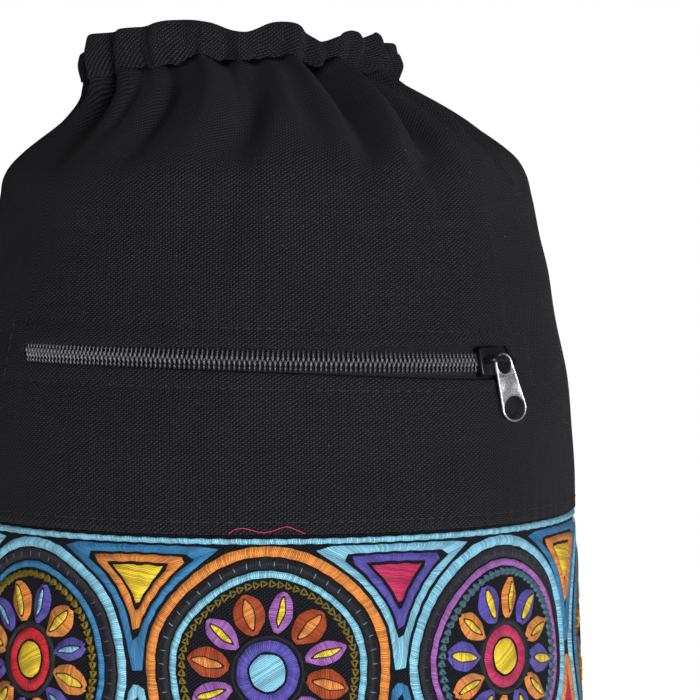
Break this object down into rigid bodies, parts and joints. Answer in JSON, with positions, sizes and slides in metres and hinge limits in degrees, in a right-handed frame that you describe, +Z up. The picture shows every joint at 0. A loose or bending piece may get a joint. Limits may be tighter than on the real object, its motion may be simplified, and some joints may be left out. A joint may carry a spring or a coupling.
{
  "type": "yoga mat bag",
  "caption": "Tall round canvas mat bag with a gathered open mouth, a zip pocket with a swinging pull, an embroidered lower panel and a shoulder strap.",
  "frame": {"origin": "centre of the round base, on its flat underside", "axes": "+Z up along the tube to the mouth; -Y is the front, with the zip pocket; +X is the slider's side, the viewer's right"},
  "size_m": [0.1768, 0.2588, 0.6771],
  "materials": {
    "black_canvas": "matte plain-weave cotton canvas",
    "embroidery_ground": "cotton ground under dense thread work",
    "webbing": "matte cotton webbing",
    "zip_tape": "woven polyester tape",
    "zip_coil": "satin nylon",
    "slider_black": "gloss black",
    "tab_silver": "die-cast, pebbled with bright rims",
    "thread_black": "satin embroidery thread",
    "thread_turquoise": "satin embroidery thread",
    "thread_blue": "satin embroidery thread",
    "thread_orange": "satin embroidery thread",
    "thread_rust": "satin embroidery thread",
    "thread_yellow": "satin embroidery thread",
    "thread_red": "satin embroidery thread",
    "thread_magenta": "satin embroidery thread",
    "thread_violet": "satin embroidery thread",
    "thread_indigo": "satin embroidery thread"
  },
  "bodies": {
    "bag": {"drawcord_casing": "black_canvas", "upper_canvas": "black_canvas", "embroidered_panel": "embroidery_ground", "base_band": "black_canvas", "base_disc": "black_canvas", "zip_tape": "zip_tape", "zip_coil_upper": "zip_coil", "zip_coil_lower": "zip_coil", "zip_slider": "slider_black", "shoulder_strap": "webbing"},
    "tab": {"pull_tab": "tab_silver"}
  },
  "joints": [
    {"name": "pull_tab_swing", "type": "hinge", "parent": "bag", "child": "tab", "pos_m": [0.06075, -0.0588, 0.58636], "axis": [-0.7318, -0.6815, 0], "range_deg": [0, 40]}
  ]
}
